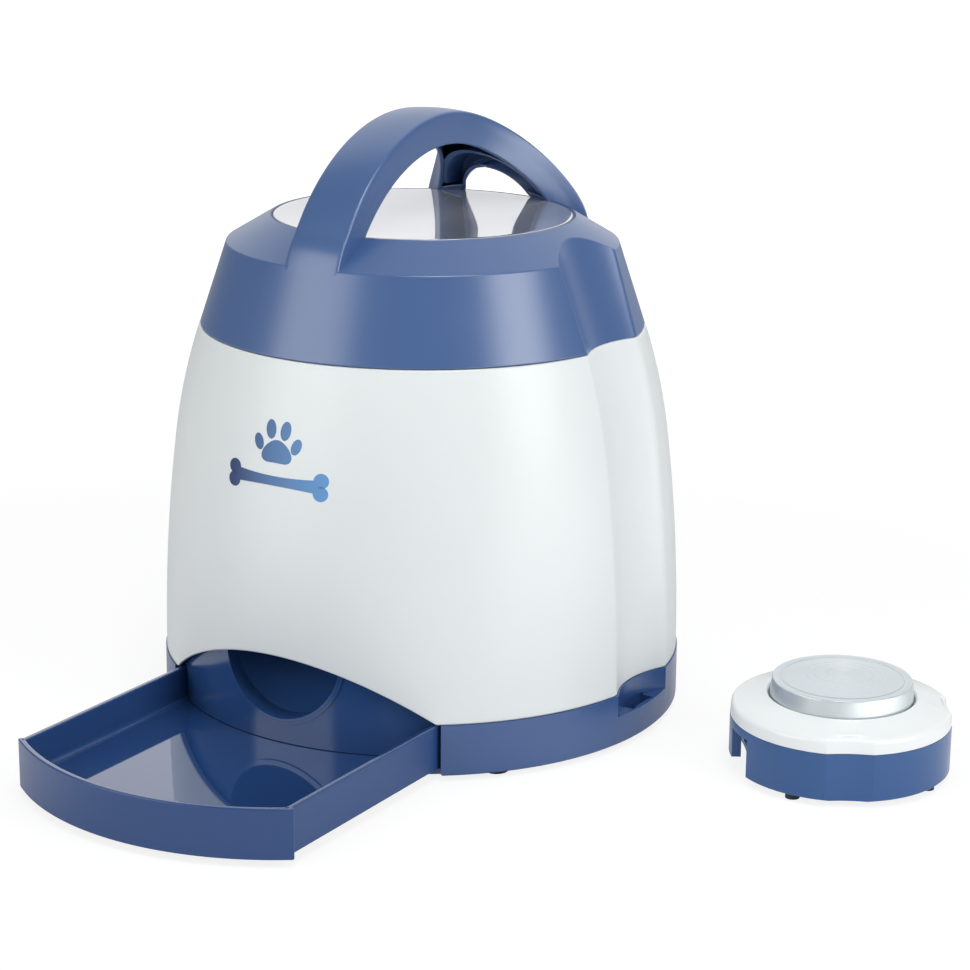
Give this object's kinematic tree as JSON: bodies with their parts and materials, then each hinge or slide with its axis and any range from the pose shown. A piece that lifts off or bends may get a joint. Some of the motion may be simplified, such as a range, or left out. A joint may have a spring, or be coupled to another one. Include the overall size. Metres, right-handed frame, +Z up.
{
  "type": "dog puzzle toy",
  "caption": "Round treat dispenser with domed handle, clear lid window, pull-out drawer and docking niche, and a loose round push button that releases a portion.",
  "frame": {"origin": "on the floor, on the upright axis of the round dispenser", "axes": "+Z up; -Y the front, where the drawer comes out; +X the side with the docking niche, where the loose push button lies"},
  "size_m": [0.314, 0.2901, 0.2283],
  "materials": {
    "white_plastic": "white ABS, satin gloss",
    "blue_plastic": "blue ABS, satin",
    "ring_plastic": "white ABS, gloss",
    "cap_plastic": "frosted polycarbonate",
    "silver_foil": "brushed",
    "clear_plastic": "clear polished styrene",
    "grey_rubber": "matte",
    "soft_seal": "translucent silicone",
    "hopper_plastic": "frosted polypropylene",
    "mechanism_plastic": "natural acetal",
    "steel": "zinc plated",
    "spring_steel": "nickel plated",
    "motor_steel": "plated can",
    "black_plastic": "matte",
    "battery_wrap": "plain printed sleeve",
    "circuit_board": "solder mask"
  },
  "bodies": {
    "base": {"base_shell": "blue_plastic", "rubber_feet": "grey_rubber", "chute": "blue_plastic", "housing_shell": "white_plastic", "housing_screws": "steel", "hopper": "hopper_plastic", "plate_screws": "steel", "dosing_plate": "hopper_plastic", "gear_case": "mechanism_plastic", "idler_pin": "steel", "gear_motor": "motor_steel", "battery_box": "black_plastic", "batteries": "battery_wrap", "battery_contacts": "spring_steel", "battery_door": "blue_plastic", "battery_door_screw": "steel", "board_spacers": "black_plastic", "control_board": "circuit_board", "board_parts": "black_plastic", "sounder": "black_plastic", "power_switch": "black_plastic"},
    "tray": {"tray": "blue_plastic"},
    "lid": {"lid_cover": "blue_plastic", "window": "clear_plastic", "window_gasket": "soft_seal", "lid_seal": "soft_seal"},
    "wheel": {"dosing_wheel": "mechanism_plastic", "drive_shaft": "steel", "output_gear": "mechanism_plastic"},
    "idler": {"idler_gear": "mechanism_plastic"},
    "motor_rotor": {"motor_pinion": "mechanism_plastic"},
    "power_knob": {"power_knob": "black_plastic"},
    "button": {"button_base": "blue_plastic", "button_ring": "ring_plastic", "button_board": "circuit_board", "tact_switch": "black_plastic", "button_batteries": "battery_wrap", "button_contacts": "spring_steel", "button_battery_door": "blue_plastic", "button_screws": "steel", "button_feet": "grey_rubber", "return_spring": "spring_steel"},
    "cap": {"button_cap": "cap_plastic", "cap_insert": "silver_foil", "cap_carrier": "mechanism_plastic"}
  },
  "joints": [
    {"name": "tray_slide", "type": "slide", "parent": "base", "child": "tray", "axis": [0, 1, 0], "range_m": [0, 0.0893]},
    {"name": "lid_lift", "type": "slide", "parent": "base", "child": "lid", "axis": [0, 0, 1], "range_m": [0, 0.12]},
    {"name": "wheel_spin", "type": "hinge", "parent": "base", "child": "wheel", "pos_m": [0, 0, 0.085], "axis": [0, 0, 1], "continuous": true},
    {"name": "idler_spin", "type": "hinge", "parent": "base", "child": "idler", "pos_m": [0, 0.01932, 0.068], "axis": [0, 0, 1], "continuous": true},
    {"name": "motor_spin", "type": "hinge", "parent": "base", "child": "motor_rotor", "pos_m": [0, 0.03544, 0.062], "axis": [0, 0, 1], "continuous": true},
    {"name": "power_slide", "type": "slide", "parent": "base", "child": "power_knob", "axis": [1, 0, 0], "range_m": [0, 0.005]},
    {"name": "button_lift", "type": "slide", "parent": "base", "child": "button", "axis": [0, 0, 1], "range_m": [0, 0.15]},
    {"name": "cap_press", "type": "slide", "parent": "button", "child": "cap", "axis": [0, 0, -1], "range_m": [0, 0.0028], "stiffness_N_per_m": 900, "springref_m": -0.002, "deforming": ["return_spring"]}
  ],
  "couplings": [
    {"joint": "idler_spin", "follows": "wheel_spin", "ratio": -3},
    {"joint": "motor_spin", "follows": "wheel_spin", "ratio": 9}
  ]
}
